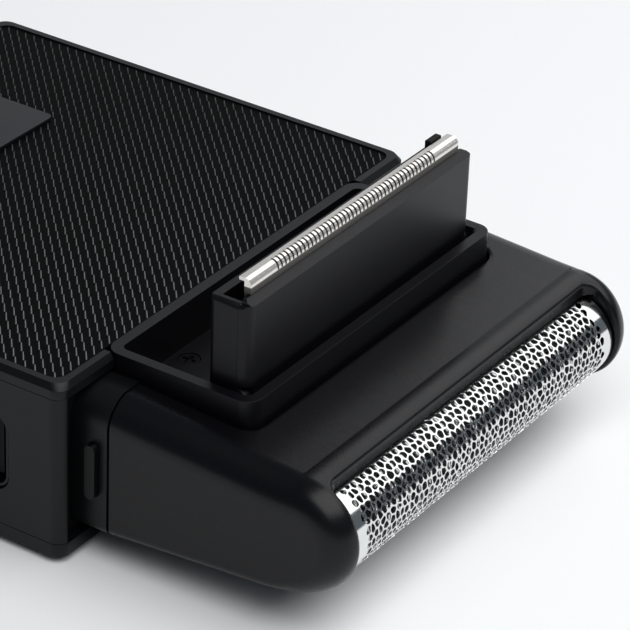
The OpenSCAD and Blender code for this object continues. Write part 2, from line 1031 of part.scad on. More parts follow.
module motor_screws() {
    color("#8c8f94")
    place()
    for (sx = [-1, 1]) {
        rod_y(
            sx * motor_screw_x, motor_y - bracket_t, motor_y + can_front - 0.1,
            drive_z, motor_screw_r
        );
        rod_y(
            sx * motor_screw_x, motor_y - bracket_t - 0.5, motor_y - bracket_t,
            drive_z, motor_screw_r + 0.5
        );
    }
}

// Base with a motor bracket, motor saddles and battery saddles
module chassis() {
    z0 = rear_floor;
    color("#2f3235")
    place()
    difference() {
        union() {
            span(-9, 9, motor_y - bracket_t, cell_y, z0, z0 + chassis_t);
            span(
                -chassis_half, chassis_half, cell_y - cell_r, cell_y + cell_r,
                z0, z0 + chassis_t
            );
            span(-8.2, 8.2, motor_y - bracket_t, motor_y, z0, drive_z + 4.5);
            for (y = [motor_y + 2, motor_y + motor_l - 5]) {
                span(-8.2, 8.2, y, y + 3, z0, z0 + saddle_h);
            }
            for (sx = [-1, 1]) {
                span(
                    sx * 18 - 1.5, sx * 18 + 1.5, cell_y - cell_r - 1, cell_y + cell_r + 1,
                    z0, z0 + saddle_h
                );
            }
        }
        rod_y(0, motor_y, motor_y + motor_l + 3, drive_z, motor_r + run_gap);
        rod_x(-cell_half - cut, cell_half + cut, cell_y, drive_z, cell_r + run_gap);
        rod_y(0, 0, motor_y + cut, drive_z, bush_r);
        for (sx = [-1, 1]) {
            rod_y(sx * motor_screw_x, 0, motor_y + cut, drive_z, motor_screw_r);
        }
    }
}

// ---- Power ----

module battery_cell() {
    color("#35618e")
    place() {
        rod_x(-cell_half, cell_half - 0.8, cell_y, drive_z, cell_r);
        rod_x(cell_half - 0.8, cell_half, cell_y, drive_z, 2.8);
    }
}

module battery_tabs() {
    color("#c9ccd0")
    place()
    for (sx = [-1, 1]) {
        span(
            sx > 0 ? cell_half : -cell_half - tab_t,
            sx > 0 ? cell_half + tab_t : -cell_half,
            cell_y - 2, cell_y + 2, drive_z - 2, board_bottom
        );
    }
}

module motor_leads() {
    y0 = motor_y + motor_l + end_cap_t;
    color("#a03030")
    place()
    for (sx = [-1, 1]) {
        rod_y(sx * lead_x, y0, y0 + 1.6, drive_z + 2, lead_r);
        translate([sx * lead_x, y0 + 1.2, drive_z + 2]) {
            cylinder(r = lead_r, h = board_bottom - drive_z - 2);
        }
    }
}

module main_board() {
    color("#1f5b3a")
    place()
    span(-board_half, board_half, board_front, body_l - band_wall - 0.6, board_bottom, board_top);
}

// Charging chip, coil and capacitors on the main board
module board_parts() {
    color("#2a2a2c")
    place() {
        span(-18, -14, 32, 36, board_top, board_top + 0.8);
        span(14, 18, 32, 35, board_top, board_top + 0.9);
        span(-7, -4.5, 31, 33, board_top, board_top + 0.6);
        for (i = [0 : 3]) {
            span(2 + 2 * i, 3 + 2 * i, 31, 32.6, board_top, board_top + 0.5);
        }
    }
}

module tact_switch() {
    color("#c9ccd0")
    place()
    translate([0, button_y, board_top]) {
        span(-2.4, 2.4, -2.4, 2.4, 0, switch_h - 0.3);
        cylinder(r = 1.4, h = switch_h);
    }
}

module charging_board() {
    y0 = socket_y + shell_r;
    color("#1f5b3a")
    place()
    span(
        -half_w + band_wall + 0.2, -board_half + 7, y0, y0 + charging_board_t,
        drive_z - 6, drive_z + 6
    );
}

// Upright pill along X, centred on the socket
module socket_pill(x0, x1, r, half_h) {
    rod_x(x0, x1, socket_y, drive_z + half_h - r, r);
    rod_x(x0, x1, socket_y, drive_z - half_h + r, r);
    span(x0, x1, socket_y - r, socket_y + r, drive_z - half_h + r, drive_z + half_h - r);
}

module socket_shell() {
    x0 = -half_w + 0.3;
    half_h = socket_h / 2 - 0.1;
    color("#b9bcc0")
    place()
    difference() {
        socket_pill(x0, x0 + shell_depth, shell_r, half_h);
        socket_pill(x0 - cut, x0 + shell_depth - 0.8, shell_r - shell_wall, half_h - shell_wall);
    }
}

module socket_tongue() {
    x0 = -half_w + 0.3;
    color("#1c1d1f")
    place()
    span(
        x0 + 0.9, x0 + shell_depth - 0.8, socket_y - 0.35, socket_y + 0.35,
        drive_z - 3.3, drive_z + 3.3
    );
}

// ---- Pop-up trimmer ----

module trimmer_tray() {
    color("#1c1d1f")
    place()
    difference() {
        slab(tray_half, -tray_reach, tray_back, tray_bottom, body_t, tray_r);
        slab(
            tray_in_half, -tray_front_in, tray_back - tray_wall,
            tray_floor_top, body_t + cut, tray_in_r
        );
        span(
            -arm_half - throw - 0.4, arm_half + throw + 0.4,
            pivot_y - arm_t / 2 - 0.3, pivot_y + arm_t / 2 + 0.3,
            tray_bottom - cut, tray_floor_top + cut
        );
        rod_x(-tray_half + 0.4, tray_half - 0.4, pivot_y, pivot_z, hinge_r);
        for (sx = [-1, 1]) {
            translate([sx * (pillar_x + pillar_w / 2), -tray_screw_y, tray_bottom - cut]) {
                cylinder(r = tray_screw_r + gap, h = tray_floor_t + 2 * cut);
                translate([0, 0, cut + tray_floor_t - 0.7])
                    cylinder(r = tray_screw_head + gap, h = 1 + cut);
            }
        }
    }
}

// Room for the arm and the slider's fork round the hinge line
module fork_void() {
    span(
        -fork_void_half, fork_void_half, pivot_y - fork_void_r, rear_face_y + cut,
        trimmer_bottom - cut, pivot_z + fork_void_r
    );
}

// Channel behind the cover, with a lug for the hinge pin at each end
module trimmer_housing() {
    color("#202225")
    place()
    difference() {
        union() {
            intersection() {
                slab(
                    trimmer_half, face_y + cover_t - 2, rear_face_y,
                    trimmer_bottom, trimmer_top, housing_edge_r
                );
                soft_section(
                    trimmer_half, trimmer_bottom, trimmer_top, face_y, rear_face_y,
                    0.6, housing_edge_r
                );
                along_x(-trimmer_half, trimmer_half) polygon([
                    [face_y + cover_t, trimmer_bottom],
                    [face_y + cover_t, trimmer_top],
                    [rear_face_y, trimmer_top],
                    [rear_face_y, trimmer_bottom + 1.2],
                    [rear_face_y - 1.2, trimmer_bottom]
                ]);
            }
            for (sx = [-1, 1]) {
                x0 = sx > 0 ? trimmer_half - lug_t : -trimmer_half;
                rod_x(x0, x0 + lug_t, pivot_y, pivot_z, trimmer_foot);
            }
        }
        span(
            -trimmer_half + housing_wall, trimmer_half - housing_wall,
            face_y + cover_t - cut, rear_face_y - housing_wall,
            trimmer_bottom + housing_wall, trimmer_top + cut
        );
        rod_x(-trimmer_half - cut, trimmer_half + cut, pivot_y, pivot_z, hinge_r + run_gap);
        fork_void();
    }
}

// Front cover: flat face, soft upright edges, sloping band below the comb
module trimmer_cover() {
    lug_half = trimmer_half - lug_t - gap;
    inner = face_y + cover_t - 0.02;
    color("#222427")
    place()
    difference() {
        intersection() {
            union() {
                along_x(-trimmer_half, trimmer_half) polygon([
                    [face_y, trimmer_bottom + foot_chamfer],
                    [face_y, trimmer_top - 0.3],
                    [face_y + 0.3, trimmer_top],
                    [inner, trimmer_top],
                    [inner, trimmer_bottom],
                    [face_y + foot_chamfer, trimmer_bottom]
                ]);
                along_x(-band_half, band_half) polygon([
                    [face_y, trimmer_top - 0.3],
                    [face_y, trimmer_top],
                    [face_y + band_depth, trimmer_top + band_rise],
                    [inner, trimmer_top + band_rise],
                    [inner, trimmer_top - 0.3]
                ]);
            }
            slab(
                trimmer_half, face_y, rear_face_y, trimmer_bottom,
                comb_ridge_z, cover_edge_r
            );
            soft_section(
                trimmer_half, trimmer_bottom, trimmer_top + band_rise, face_y, rear_face_y,
                band_end_r, housing_edge_r
            );
        }
        for (sx = [-1, 1]) {
            span(
                sx > 0 ? lug_half : -trimmer_half - cut,
                sx > 0 ? trimmer_half + cut : -lug_half,
                face_y - cut, rear_face_y,
                trimmer_bottom - cut, pivot_z + trimmer_foot + gap
            );
        }
        fork_void();
    }
}

// Steel comb: upright plate with a cap over its edge, slotted across the cap's rounded front
module trimmer_comb() {
    first = -(tooth_count - 1) / 2 * tooth_pitch;
    color("#b4b2ac")
    place()
    difference() {
        along_x(-comb_w / 2, comb_w / 2) polygon(concat(
            [
                [comb_y, comb_foot],
                [comb_y, comb_ridge_z - facet_drop],
                [comb_y - facet_out, comb_ridge_z - facet_drop]
            ],
            [for (a = [0 : 18 : 90]) [
                comb_y - facet_out + cap_round * (1 - cos(a)),
                comb_ridge_z - slot_down * (1 - sin(a))
            ]],
            [
                [comb_y + cap_back, comb_ridge_z - 0.05],
                [comb_y + cap_back, comb_ridge_z - cap_t],
                [comb_y + comb_plate, comb_ridge_z - cap_t],
                [comb_y + comb_plate, comb_foot]
            ]
        ));
        for (i = [0 : tooth_count - 1]) {
            span(
                first + i * tooth_pitch - slot_w / 2, first + i * tooth_pitch + slot_w / 2,
                comb_y - facet_out - cut, comb_y + comb_plate + gap,
                comb_ridge_z - slot_down, comb_ridge_z + cut
            );
        }
    }
}

// Toothed blade that slides behind the comb
module trimmer_cutter() {
    count = floor(2 * cutter_half / tooth_pitch) - 1;
    first = -(count - 1) / 2 * tooth_pitch;
    color("#9b9a96")
    place()
    difference() {
        span(
            -cutter_half, cutter_half, cutter_y, cutter_y + comb_plate,
            cutter_foot, cutter_top
        );
        for (i = [0 : count - 1]) {
            span(
                first + i * tooth_pitch - slot_w / 2, first + i * tooth_pitch + slot_w / 2,
                cutter_y - cut, cutter_y + comb_plate + cut,
                cutter_top - 0.9, cutter_top + cut
            );
        }
    }
}

// Plastic slider on the cutter, with a fork that straddles the arm
module trimmer_slider() {
    fork_x = arm_half + fork_gap;
    color("#1a1b1c")
    place() {
        span(
            -slider_half, slider_half, slider_y, slider_y + slider_t,
            trimmer_top - 8.6, slider_top
        );
        span(
            bump_x, bump_x + 2.2, comb_y + cap_back + gap, slider_y + slider_t + 0.3,
            trimmer_top - 4, bump_top
        );
        span(
            slider_half - cut, bump_x + 2.2, slider_y, slider_y + slider_t,
            trimmer_top - 4, trimmer_top - 1.4
        );
        for (sx = [-1, 1]) {
            span(
                sx > 0 ? fork_x : -fork_x - fork_t,
                sx > 0 ? fork_x + fork_t : -fork_x,
                pivot_y - 0.7, pivot_y + 0.7, pivot_z - 0.7, pivot_z + fork_void_r
            );
            span(
                sx > 0 ? fork_x : -fork_x - fork_t,
                sx > 0 ? fork_x + fork_t : -fork_x,
                pivot_y - 0.1, slider_y + slider_t, pivot_z + 0.6, trimmer_top - 8.6
            );
        }
    }
}

// Bowed leaf that presses the slider and the cutter against the comb
module trimmer_leaf() {
    color("#b9bcc0")
    place() {
        span(-13, 13, leaf_y, leaf_y + 0.2, trimmer_top - 7.5, trimmer_top - 4.5);
        for (sx = [-1, 1]) {
            span(
                sx * 12 - 1, sx * 12 + 1, leaf_y + 0.2, rear_face_y - housing_wall,
                trimmer_top - 6.8, trimmer_top - 5.2
            );
        }
    }
}

module hinge_pins() {
    color("#c9ccd0")
    place()
    for (sx = [-1, 1]) {
        rod_x(
            sx > 0 ? trimmer_half - lug_t : -tray_half + 0.4,
            sx > 0 ? tray_half - 0.4 : -trimmer_half + lug_t,
            pivot_y, pivot_z, hinge_r
        );
    }
}

// Small ramps beside the trimmer's foot that hold it upright
module detent_spring() {
    wide = trimmer_side_gap - 0.15;
    color("#a9acb0")
    place()
    for (sx = [-1, 1]) {
        x0 = sx > 0 ? tray_in_half - wide : -tray_in_half;
        along_x(x0, x0 + wide) polygon([
            [rear_face_y + 0.4, pivot_z - 1.6],
            [rear_face_y + 0.4, pivot_z - 0.3],
            [rear_face_y + 2, pivot_z - 1.6]
        ]);
    }
}

// ---- Screws ----

module rear_screws() {
    color("#3a3c40")
    place()
    for (sx = [-1, 1]) {
        for (y = screw_ys) {
            translate([sx * screw_x, y, head_clear]) {
                difference() {
                    cylinder(r = screw_head_r, h = head_sink - head_clear);
                    translate([-1.1, -0.25, -cut]) cube([2.2, 0.5, cut + 0.3]);
                    translate([-0.25, -1.1, -cut]) cube([0.5, 2.2, cut + 0.3]);
                }
                translate([0, 0, 0.5]) cylinder(r = screw_r, h = rear_h + boss_h - 1);
            }
        }
    }
}

module tray_screws() {
    color("#3a3c40")
    place()
    for (sx = [-1, 1]) {
        translate([sx * (pillar_x + pillar_w / 2), -tray_screw_y, tray_bottom]) {
            translate([0, 0, -tray_screw_l + 0.4])
                cylinder(r = tray_screw_r, h = tray_screw_l + tray_floor_t - 0.8);
            difference() {
                translate([0, 0, tray_floor_t - 0.7]) cylinder(r = tray_screw_head, h = 0.6);
                translate([-0.8, -0.2, tray_floor_t - 0.3]) cube([1.6, 0.4, cut]);
                translate([-0.2, -0.8, tray_floor_t - 0.3]) cube([0.4, 1.6, cut]);
            }
        }
    }
}

top_bezel();
grip_panel();
control_plate();
power_button();
status_light();
side_band();
rear_cover();
front_plate();
trimmer_tray();
neck_upper();
neck_lower();
neck_gasket();
release_button_left();
release_button_right();
release_springs();
foil_frame();
foil();
foil_clips();
cutter_holder();
cutter_blades();
cutter_spring();
drive_bridge();
cutter_post();
trimmer_arm();
guide_rods();
bridge_springs();
crank_cam();
motor_shaft();
motor_armature();
motor_bushing();
motor_can();
motor_magnets();
motor_end_cap();
motor_screws();
chassis();
battery_cell();
battery_tabs();
motor_leads();
main_board();
board_parts();
tact_switch();
charging_board();
socket_shell();
socket_tongue();
trimmer_housing();
trimmer_cover();
trimmer_comb();
trimmer_cutter();
trimmer_slider();
trimmer_leaf();
hinge_pins();
detent_spring();
rear_screws();
tray_screws();
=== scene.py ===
import json
import math

import bpy
import numpy as np
from mathutils import Matrix, Vector

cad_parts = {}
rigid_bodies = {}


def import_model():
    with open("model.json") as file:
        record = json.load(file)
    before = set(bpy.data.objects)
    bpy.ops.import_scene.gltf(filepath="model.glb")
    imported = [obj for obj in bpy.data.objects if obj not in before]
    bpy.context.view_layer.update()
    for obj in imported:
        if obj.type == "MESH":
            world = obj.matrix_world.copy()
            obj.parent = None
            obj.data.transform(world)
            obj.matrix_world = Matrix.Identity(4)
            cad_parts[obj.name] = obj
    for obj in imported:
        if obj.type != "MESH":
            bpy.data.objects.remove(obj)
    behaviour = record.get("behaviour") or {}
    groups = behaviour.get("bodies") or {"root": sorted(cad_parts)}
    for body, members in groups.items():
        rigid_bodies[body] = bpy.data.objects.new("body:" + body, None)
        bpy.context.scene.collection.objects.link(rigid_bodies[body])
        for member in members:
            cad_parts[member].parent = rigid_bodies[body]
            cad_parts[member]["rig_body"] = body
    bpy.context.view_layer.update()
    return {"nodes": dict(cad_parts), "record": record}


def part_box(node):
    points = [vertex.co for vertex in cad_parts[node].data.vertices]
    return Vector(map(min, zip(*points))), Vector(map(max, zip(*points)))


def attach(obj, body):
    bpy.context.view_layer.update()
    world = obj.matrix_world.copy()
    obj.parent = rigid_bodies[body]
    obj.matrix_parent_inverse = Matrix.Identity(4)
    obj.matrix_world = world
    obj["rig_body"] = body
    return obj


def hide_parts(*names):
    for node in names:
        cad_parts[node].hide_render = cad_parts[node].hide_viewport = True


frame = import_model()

MM = 0.001
NODES = frame["nodes"]


# ---- Shader helpers ----

class Socket:
    """One value in a node tree; arithmetic on it adds Math nodes."""

    def __init__(self, tree, link):
        self.tree = tree
        self.link = link

    def math(self, operation, *others):
        return self.tree.node("ShaderNodeMath", {"operation": operation}, [self, *others])

    def __add__(self, other):
        return self.math("ADD", other)

    def __sub__(self, other):
        return self.math("SUBTRACT", other)

    def __rsub__(self, other):
        return self.tree.node("ShaderNodeMath", {"operation": "SUBTRACT"}, [other, self])

    def __mul__(self, other):
        return self.math("MULTIPLY", other)

    __radd__ = __add__
    __rmul__ = __mul__

    def clamp(self, low=0.0, high=1.0):
        return self.math("MAXIMUM", low).math("MINIMUM", high)

    def step(self, low, high):
        """0 below low, 1 above high, smooth between them."""
        return self.tree.node(
            "ShaderNodeMapRange", {"interpolation_type": "SMOOTHSTEP"},
            [self, low, high, 0.0, 1.0],
        )


class Finish:
    """A material whose nodes are written as Python expressions."""

    def __init__(self, name):
        self.material = bpy.data.materials.new(name)
        self.material.use_nodes = True
        self.nodes = self.material.node_tree.nodes
        self.links = self.material.node_tree.links
        self.shader = self.nodes["Principled BSDF"]

    def node(self, kind, settings=None, values=(), output=0):
        """Adds a node of that kind, its settings first, then its sockets by order or by name."""
        made = self.nodes.new(kind)
        for name, value in (settings or {}).items():
            setattr(made, name, value)
        pairs = values.items() if isinstance(values, dict) else enumerate(values)
        for key, value in pairs:
            self.feed(made.inputs[key], value)
        return Socket(self, made.outputs[output])

    def feed(self, target, value):
        if isinstance(value, Socket):
            self.links.new(value.link, target)
        elif value is not None:
            target.default_value = value

    def set(self, **values):
        """Feeds the shader's sockets; Base_Color stands for Base Color."""
        for key, value in values.items():
            self.feed(self.shader.inputs[key.replace("_", " ")], value)
        return self

    def place(self):
        """Object coordinates, in metres."""
        return self.node("ShaderNodeTexCoord", output="Object")

    def along(self, x, y, z):
        """Distance in millimetres along that direction, times its length."""
        return self.node(
            "ShaderNodeVectorMath", {"operation": "DOT_PRODUCT"},
            [self.place(), (x / MM, y / MM, z / MM)], output="Value",
        )

    def scaled(self, sx, sy, sz, turn=(0.0, 0.0, 0.0)):
        """Object coordinates in millimetres times a scale along each axis."""
        return self.node(
            "ShaderNodeMapping", {},
            {"Vector": self.place(), "Scale": (sx / MM, sy / MM, sz / MM), "Rotation": turn},
        )

    def noise(self, scale, detail=4.0, rough=0.55, vector=None):
        """Noise with that many bumps to a millimetre, from 0 to 1."""
        vector = vector or self.scaled(1, 1, 1)
        return self.node(
            "ShaderNodeTexNoise", {},
            {"Vector": vector, "Scale": scale, "Detail": detail, "Roughness": rough},
        )

    def mix(self, factor, first, second):
        """Colour between two colours; a Mix node keeps its colour sockets at 6, 7 and output 2."""
        return self.node(
            "ShaderNodeMix", {"data_type": "RGBA"}, {0: factor, 6: first, 7: second}, output=2
        )

    def bump(self, height, depth_mm):
        """Normal for a height from 0 to 1 that stands for depth_mm."""
        return self.node(
            "ShaderNodeBump", {}, {"Height": height, "Distance": depth_mm * MM, "Strength": 1.0}
        )


def tint(colour, share):
    """A colour made that much darker or lighter, with full alpha."""
    return tuple(min(1.0, c * share) for c in colour) + (1.0,)


def moulded_plastic(name, colour, rough, grain=0.006, shine=0.25):
    """Injection-moulded plastic: fine spark-eroded grain, faint mottling and handling marks."""
    f = Finish(name)
    grit = f.noise(9.0, 3.0, 0.6)
    mottle = f.noise(0.12, 3.0, 0.5)
    marks = f.noise(1.0, 4.0, 0.6, f.scaled(0.35, 0.05, 0.35, (0.0, 0.0, 0.6)))
    tone = (0.82 + 0.36 * mottle).clamp()
    f.set(
        Base_Color=f.mix(tone, tint(colour, 0.8), tint(colour, 1.25)),
        Roughness=(rough + 0.08 * (marks - 0.5) + 0.06 * (grit - 0.5)).clamp(0.05, 1.0),
        Normal=f.bump(grit, grain),
        Specular_IOR_Level=shine,
    )
    return f.material


def drawn_metal(name, colour, rough, scale=(6.0, 0.15, 6.0), grain=0.003, vary=0.16, shade=None):
    """Rolled or ground metal: fine lines along the length, slight stains.

    shade gives a height in millimetres and a tone: below that height the metal is matt and painted
    that dark, as painted shade on the lower faces, while the faces above keep the lit tone.
    """
    f = Finish(name)
    lines = f.noise(1.0, 5.0, 0.65, f.scaled(*scale))
    stain = f.noise(0.25, 3.0, 0.5)
    tone = f.mix(stain, tint(colour, 0.82), tint(colour, 1.08))
    matt = rough + vary * (lines - 0.5)
    if shade:
        height, share = shade
        # Painted shade: below the height the colour is darkened by the given share and made matter.
        painted_lit_top = f.along(0.0, 0.0, 1.0).step(height - 0.08, height + 0.08)
        tone = f.mix(painted_lit_top, tint(colour, share), tone)
        matt = matt + 0.25 * (1.0 - painted_lit_top)
    f.set(
        Base_Color=tone,
        Metallic=1.0,
        Roughness=matt.clamp(0.04, 1.0),
        Normal=f.bump(lines, grain),
    )
    return f.material


def ridge_plastic(name, glint_tone, dull_tone):
    """Plastic of the grip's ridges with a painted highlight: pale at the -X -Y corner and darker
    towards the corner across.
    """
    f = Finish(name)
    grit = f.noise(6.0, 3.0, 0.6)
    # Painted highlight: the ridges go from the pale colour at the -X -Y corner to the dark colour
    # across the panel.
    away_from_glint = f.along(1.0, 1.2, 0.0).step(-45.0, 60.0)
    f.set(
        Base_Color=f.mix(away_from_glint, glint_tone + (1.0,), dull_tone + (1.0,)),
        Roughness=0.3 + 0.1 * grit,
        Normal=f.bump(grit, 0.002),
        Specular_IOR_Level=0.3,
    )
    return f.material


COMB_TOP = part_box("trimmer_comb")[1][2] / MM
# Depth of the comb's cap; below it the comb steel carries painted shade.
CAP_HEIGHT = 0.98

MATERIALS = {
    "casing": moulded_plastic("satin_casing", (0.002, 0.0025, 0.003), 0.38),
    "grip": moulded_plastic("grip_skin", (0.001, 0.0015, 0.0015), 0.5, shine=0.02),
    # The grip's ridges: the pale and dark colours of a painted highlight that fades across the
    # panel.
    "ridge": ridge_plastic("ridge_crest", (0.13, 0.145, 0.145), (0.03, 0.032, 0.032)),
    "control": moulded_plastic("control_skin", (0.006, 0.007, 0.009), 0.34, shine=0.3),
    "button": moulded_plastic("button_skin", (0.0015, 0.0015, 0.002), 0.36, shine=0.2),
    "light_lens": moulded_plastic("light_lens", (0.75, 0.80, 0.82), 0.12, grain=0.001),
    # Near-black plastic for inner parts; the cutter holder behind the foil also gets it, as painted
    # shade seen through the foil's holes.
    "deep_black": moulded_plastic("hidden_plastic", (0.002, 0.002, 0.002), 0.5, shine=0.15),
    "head": moulded_plastic("head_shell_skin", (0.002, 0.002, 0.0028), 0.28),
    "trimmer": moulded_plastic("trimmer_skin", (0.002, 0.002, 0.003), 0.36),
    "acetal": moulded_plastic("white_acetal", (0.78, 0.77, 0.72), 0.35),
    "seal": moulded_plastic("seal_rubber", (0.03, 0.03, 0.03), 0.7, grain=0.01),
    "foil_steel": drawn_metal(
        "foil_steel", (0.80, 0.81, 0.80), 0.10, (0.15, 6.0, 6.0), grain=0.0004, vary=0.05
    ),
    "blade_steel": drawn_metal("blade_steel", (0.62, 0.62, 0.63), 0.26),
    # The comb's steel is painted dark below its cap, as painted shade on its front facet; the cap's
    # top stays bright.
    "comb_steel": drawn_metal(
        "comb_steel", (0.80, 0.77, 0.73), 0.22, (0.2, 7.0, 7.0), shade=(COMB_TOP - CAP_HEIGHT, 0.16)
    ),
    "spring_steel": drawn_metal("spring_steel", (0.58, 0.58, 0.60), 0.3),
    "can_steel": drawn_metal("plated_steel", (0.60, 0.61, 0.63), 0.25),
    "bronze": drawn_metal("sintered_bronze", (0.60, 0.42, 0.20), 0.45),
    "copper": drawn_metal("enamelled_wire", (0.62, 0.26, 0.11), 0.35, (0.3, 9.0, 0.3), grain=0.02),
    "magnet": moulded_plastic("magnet", (0.07, 0.07, 0.075), 0.55, grain=0.02),
    "cell_sleeve": moulded_plastic("cell_sleeve", (0.03, 0.11, 0.24), 0.3, grain=0.002),
    "board": moulded_plastic("solder_mask", (0.01, 0.08, 0.035), 0.3, grain=0.003),
    "lead": moulded_plastic("lead_sleeve", (0.35, 0.02, 0.02), 0.45),
    # Black screws: their own black finish, made darker still as painted shade for the screw in the
    # trimmer tray's pocket.
    "screw_steel": drawn_metal("black_screw", (0.02, 0.02, 0.022), 0.5),
    # Near-black steel for the charging socket's shell: painted shade inside the port.
    "socket_steel": drawn_metal("socket_steel", (0.03, 0.03, 0.033), 0.4),
}


def paint(obj, finish):
    """Makes that finish the only one of a piece."""
    obj.data.materials.clear()
    obj.data.materials.append(MATERIALS[finish])


SLOT_OF = {row["node"]: row["material_slot"] for row in frame["record"]["subparts"]}
for node_name, node_object in NODES.items():
    paint(node_object, SLOT_OF[node_name])
# The socket's shell is painted near-black steel, as painted shade inside the charging port.
paint(NODES["socket_shell"], "socket_steel")


# ---- Meshes ----

def add_piece(name, points, blocks, slot, node, stands_for=(), normals=None, finish=None):
    """A smooth mesh piece that rides with a CAD node's body.

    The points are in millimetres. Each block of faces has one number of corners to a face.
    """
    faces = [face for block in blocks for face in block.tolist()]
    mesh = bpy.data.meshes.new(name)
    mesh.from_pydata((points * MM).tolist(), [], faces)
    mesh.polygons.foreach_set("use_smooth", np.ones(len(mesh.polygons), bool))
    mesh.update()
    if normals is not None:
        mesh.normals_split_custom_set_from_vertices(normals.tolist())
    piece = bpy.data.objects.new(name, mesh)
    bpy.context.scene.collection.objects.link(piece)
    paint(piece, finish or slot)
    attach(piece, NODES[node]["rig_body"])
    if stands_for:
        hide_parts(*stands_for)


def slope_of(field, points, step=0.02):
    """Gradient of a field at points, by central differences."""
    parts = []
    for axis in range(3):
        shift = np.zeros(3)
        shift[axis] = step
        ahead, behind = points + shift, points - shift
        parts.append((field(*ahead.T) - field(*behind.T)) / (2 * step))
    return np.stack(parts, -1)


def skin_of(field, low, high, cell):
    """Skin of a solid given by one formula, field(x, y, z) below 0 inside it, in millimetres.

    Space is cut into cubes. Each cube that the skin passes through gets one point, the mean of
    where the skin cuts its edges, and each cut edge gets a face through its four cubes' points.
    The points then slide along the field's slope until the field is 0 there.
    """
    counts = np.ceil((high - low) / cell).astype(int) + 1
    axes = [low[a] + cell * np.arange(counts[a]) for a in range(3)]
    value = field(*np.meshgrid(*axes, indexing="ij"))
    inside = value < 0
    shape = tuple(counts - 1)
    total, hits, cuts = np.zeros(shape + (3,)), np.zeros(shape), []
    for a in range(3):
        near = [slice(None)] * 3
        far = [slice(None)] * 3
        near[a], far[a] = slice(None, -1), slice(1, None)
        start, end = value[tuple(near)], value[tuple(far)]
        cut = inside[tuple(near)] != inside[tuple(far)]
        share = np.where(cut, start / np.where(cut, start - end, 1.0), 0.0)
        cuts.append((cut, inside[tuple(near)]))
        b, c = (a + 1) % 3, (a + 2) % 3
        for side_b in (0, 1):
            for side_c in (0, 1):
                window = [slice(None)] * 3
                window[b] = slice(side_b, counts[b] - 1 + side_b)
                window[c] = slice(side_c, counts[c] - 1 + side_c)
                hit = cut[tuple(window)]
                total[..., a] += share[tuple(window)]
                total[..., b] += hit * side_b
                total[..., c] += hit * side_c
                hits += hit
    used = hits > 0
    number = np.full(shape, -1)
    number[used] = np.arange(used.sum())
    points = low + cell * (np.argwhere(used) + total[used] / hits[used][:, None])
    faces = []
    for a, (cut, starts_inside) in enumerate(cuts):
        b, c = (a + 1) % 3, (a + 2) % 3
        place = np.argwhere(cut)
        place = place[(place[:, b] > 0) & (place[:, c] > 0)]
        place = place[(place[:, b] < shape[b]) & (place[:, c] < shape[c])]
        ring = []
        for step_b, step_c in ((1, 1), (0, 1), (0, 0), (1, 0)):
            cube = place.copy()
            cube[:, b] -= step_b
            cube[:, c] -= step_c
            ring.append(number[tuple(cube.T)])
        ring = np.stack(ring, 1)
        outward = starts_inside[tuple(place.T)]
        faces.append(np.where(outward[:, None], ring, ring[:, ::-1]))
    for _ in range(5):
        slope = slope_of(field, points)
        length = np.maximum((slope ** 2).sum(1), 0.05)
        move = (field(*points.T) / length)[:, None] * slope
        points = points - np.clip(move, -0.5 * cell, 0.5 * cell)
    normals = slope_of(field, points)
    normals /= np.maximum(np.linalg.norm(normals, axis=1), 1e-6)[:, None]
    return points, np.concatenate(faces), normals


def both(first, second, radius):
    """Inside both shapes, with the edge between them rounded to that radius."""
    reach = np.hypot(np.maximum(first + radius, 0), np.maximum(second + radius, 0))
    return np.minimum(-radius, np.maximum(first, second)) + reach


def ease(value):
    """Smooth step from 0 to 1."""
    t = np.clip(value, 0.0, 1.0)
    return t * t * (3 - 2 * t)


def corners(node):
    """Lowest and highest corner of a CAD node in millimetres."""
    low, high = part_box(node)
    return np.array(low) / MM, np.array(high) / MM


# Front face of the casing, and the boxes of the pieces that the head is fitted to
FRONT = corners("side_band")[0][1]
FRAME_LOW, FRAME_HIGH = corners("foil_frame")
FOIL_LOW, FOIL_HIGH = corners("foil")
TRAY_LOW, TRAY_HIGH = corners("trimmer_tray")
# The head's round nose and its seam with the neck
NOSE_R = 6.5
NOSE_Y = FRAME_LOW[1] + NOSE_R
NOSE_Z = (FRAME_LOW[2] + FRAME_HIGH[2]) / 2 + 0.2
SEAM_Y = FRAME_HIGH[1]
# The foil's arc, the room round it, and the room round the tray
FOIL_R = (FOIL_HIGH[2] - FOIL_LOW[2]) / 2
FOIL_Z = (FOIL_HIGH[2] + FOIL_LOW[2]) / 2
FOIL_Y = FOIL_LOW[1] + FOIL_R
FOIL_HALF = FOIL_HIGH[0]
CAVITY_HALF = FOIL_HALF + 0.3
HEAD_WALL = 1.7
LIP_Y = FOIL_Y - 1.2
TRAY_ROOM = 0.3


def side_line(y, z, seam_z, side):
    """Distance past one side of the head's outline.

    The side is the straight line that leaves the seam and touches the nose's circle, and past
    that touch it is the circle.
    """
    away, rise = SEAM_Y - NOSE_Y, side * (seam_z - NOSE_Z)
    span = math.hypot(away, rise)
    turn = math.atan2(rise, away) - math.pi / 2 + math.acos(NOSE_R / span)
    out_y, out_z = -math.sin(turn), math.cos(turn)
    dy, dz = y - NOSE_Y, side * (z - NOSE_Z)
    straight = dy * out_y + dz * out_z - NOSE_R
    behind = dy * out_z - dz * out_y > 0
    return np.where(behind, straight, np.hypot(dy, dz) - NOSE_R)


